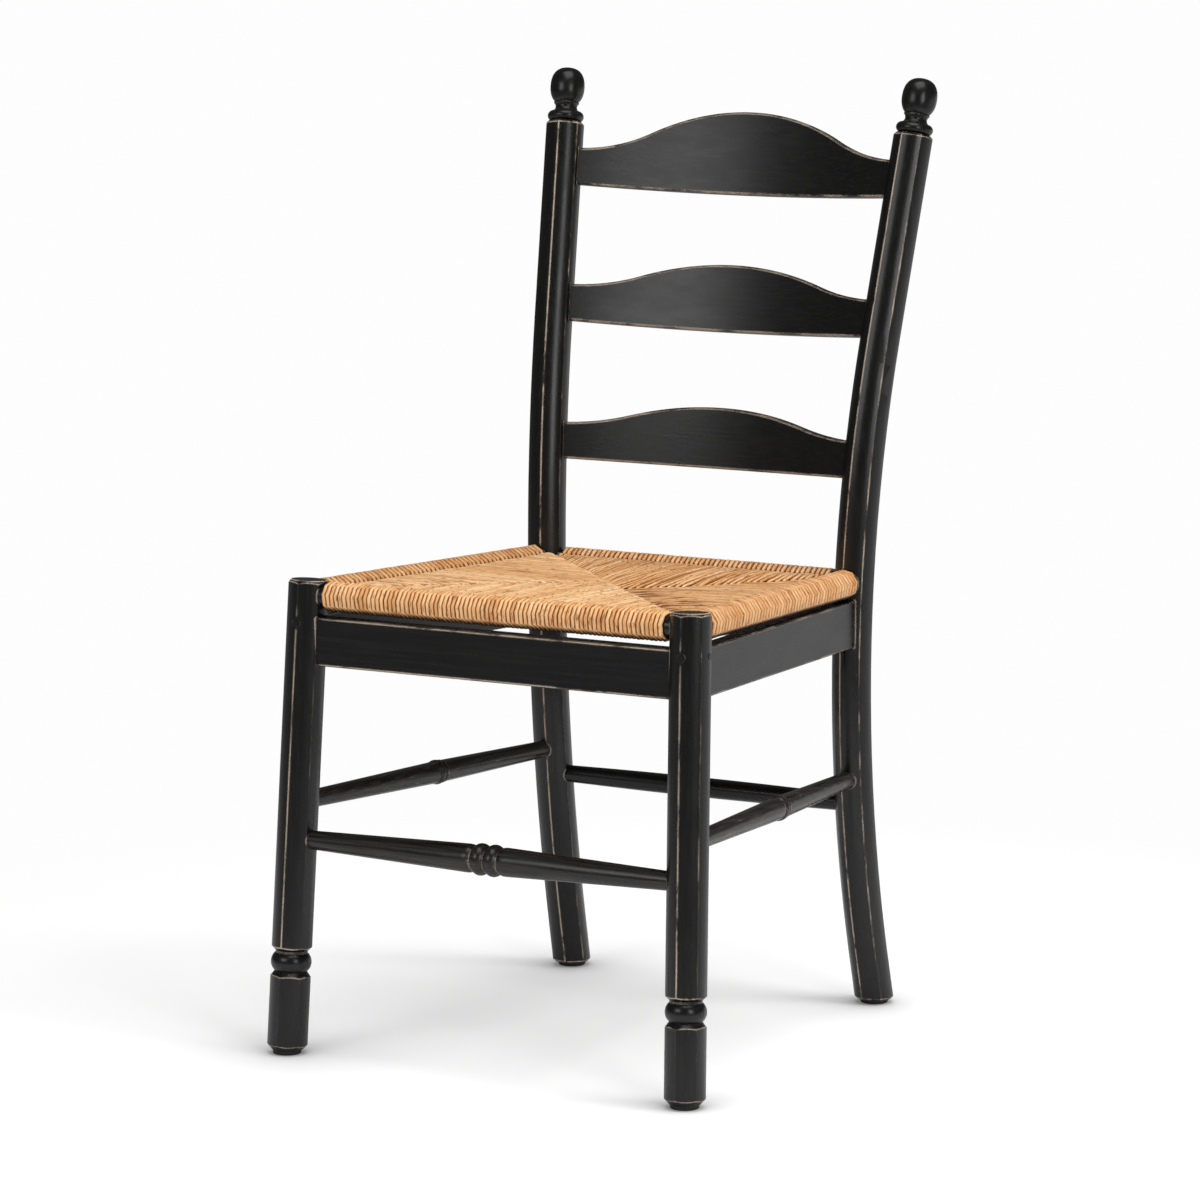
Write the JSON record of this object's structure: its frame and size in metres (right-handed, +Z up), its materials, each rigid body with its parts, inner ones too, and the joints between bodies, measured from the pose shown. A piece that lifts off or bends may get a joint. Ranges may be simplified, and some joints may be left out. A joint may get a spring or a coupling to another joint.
{
  "type": "ladder-back chair",
  "caption": "Ladder-back side chair with bent rear posts, bowed slats, turned finials and stretchers, pegged aprons and a woven rush seat, for sitting at a table.",
  "frame": {"origin": "on the floor, under the centre of the chair's bounding box", "axes": "+Z up, the front of the seat faces -Y, +X is on the right of someone facing the chair"},
  "size_m": [0.4864, 0.5726, 0.9472],
  "materials": {
    "black_paint_wood": "satin black paint, rubbed through to the wood on its edges",
    "rush": "twisted rush cord, lightly sealed",
    "glide": "moulded, matt black"
  },
  "bodies": {
    "root": {"front_post_left": "black_paint_wood", "front_post_right": "black_paint_wood", "rear_post_left": "black_paint_wood", "rear_post_right": "black_paint_wood", "finial_left": "black_paint_wood", "finial_right": "black_paint_wood", "top_slat": "black_paint_wood", "middle_slat": "black_paint_wood", "lower_slat": "black_paint_wood", "seat_rail_front": "black_paint_wood", "seat_rail_left": "black_paint_wood", "seat_rail_right": "black_paint_wood", "seat_rail_rear": "black_paint_wood", "apron_front": "black_paint_wood", "apron_left": "black_paint_wood", "apron_right": "black_paint_wood", "apron_rear": "black_paint_wood", "apron_pegs": "black_paint_wood", "front_stretcher": "black_paint_wood", "side_stretcher_left": "black_paint_wood", "side_stretcher_right": "black_paint_wood", "rear_stretcher": "black_paint_wood", "foot_glide_front_left": "glide", "foot_glide_front_right": "glide", "foot_glide_rear_left": "glide", "foot_glide_rear_right": "glide", "rush_seat": "rush"}
  },
  "joints": []
}
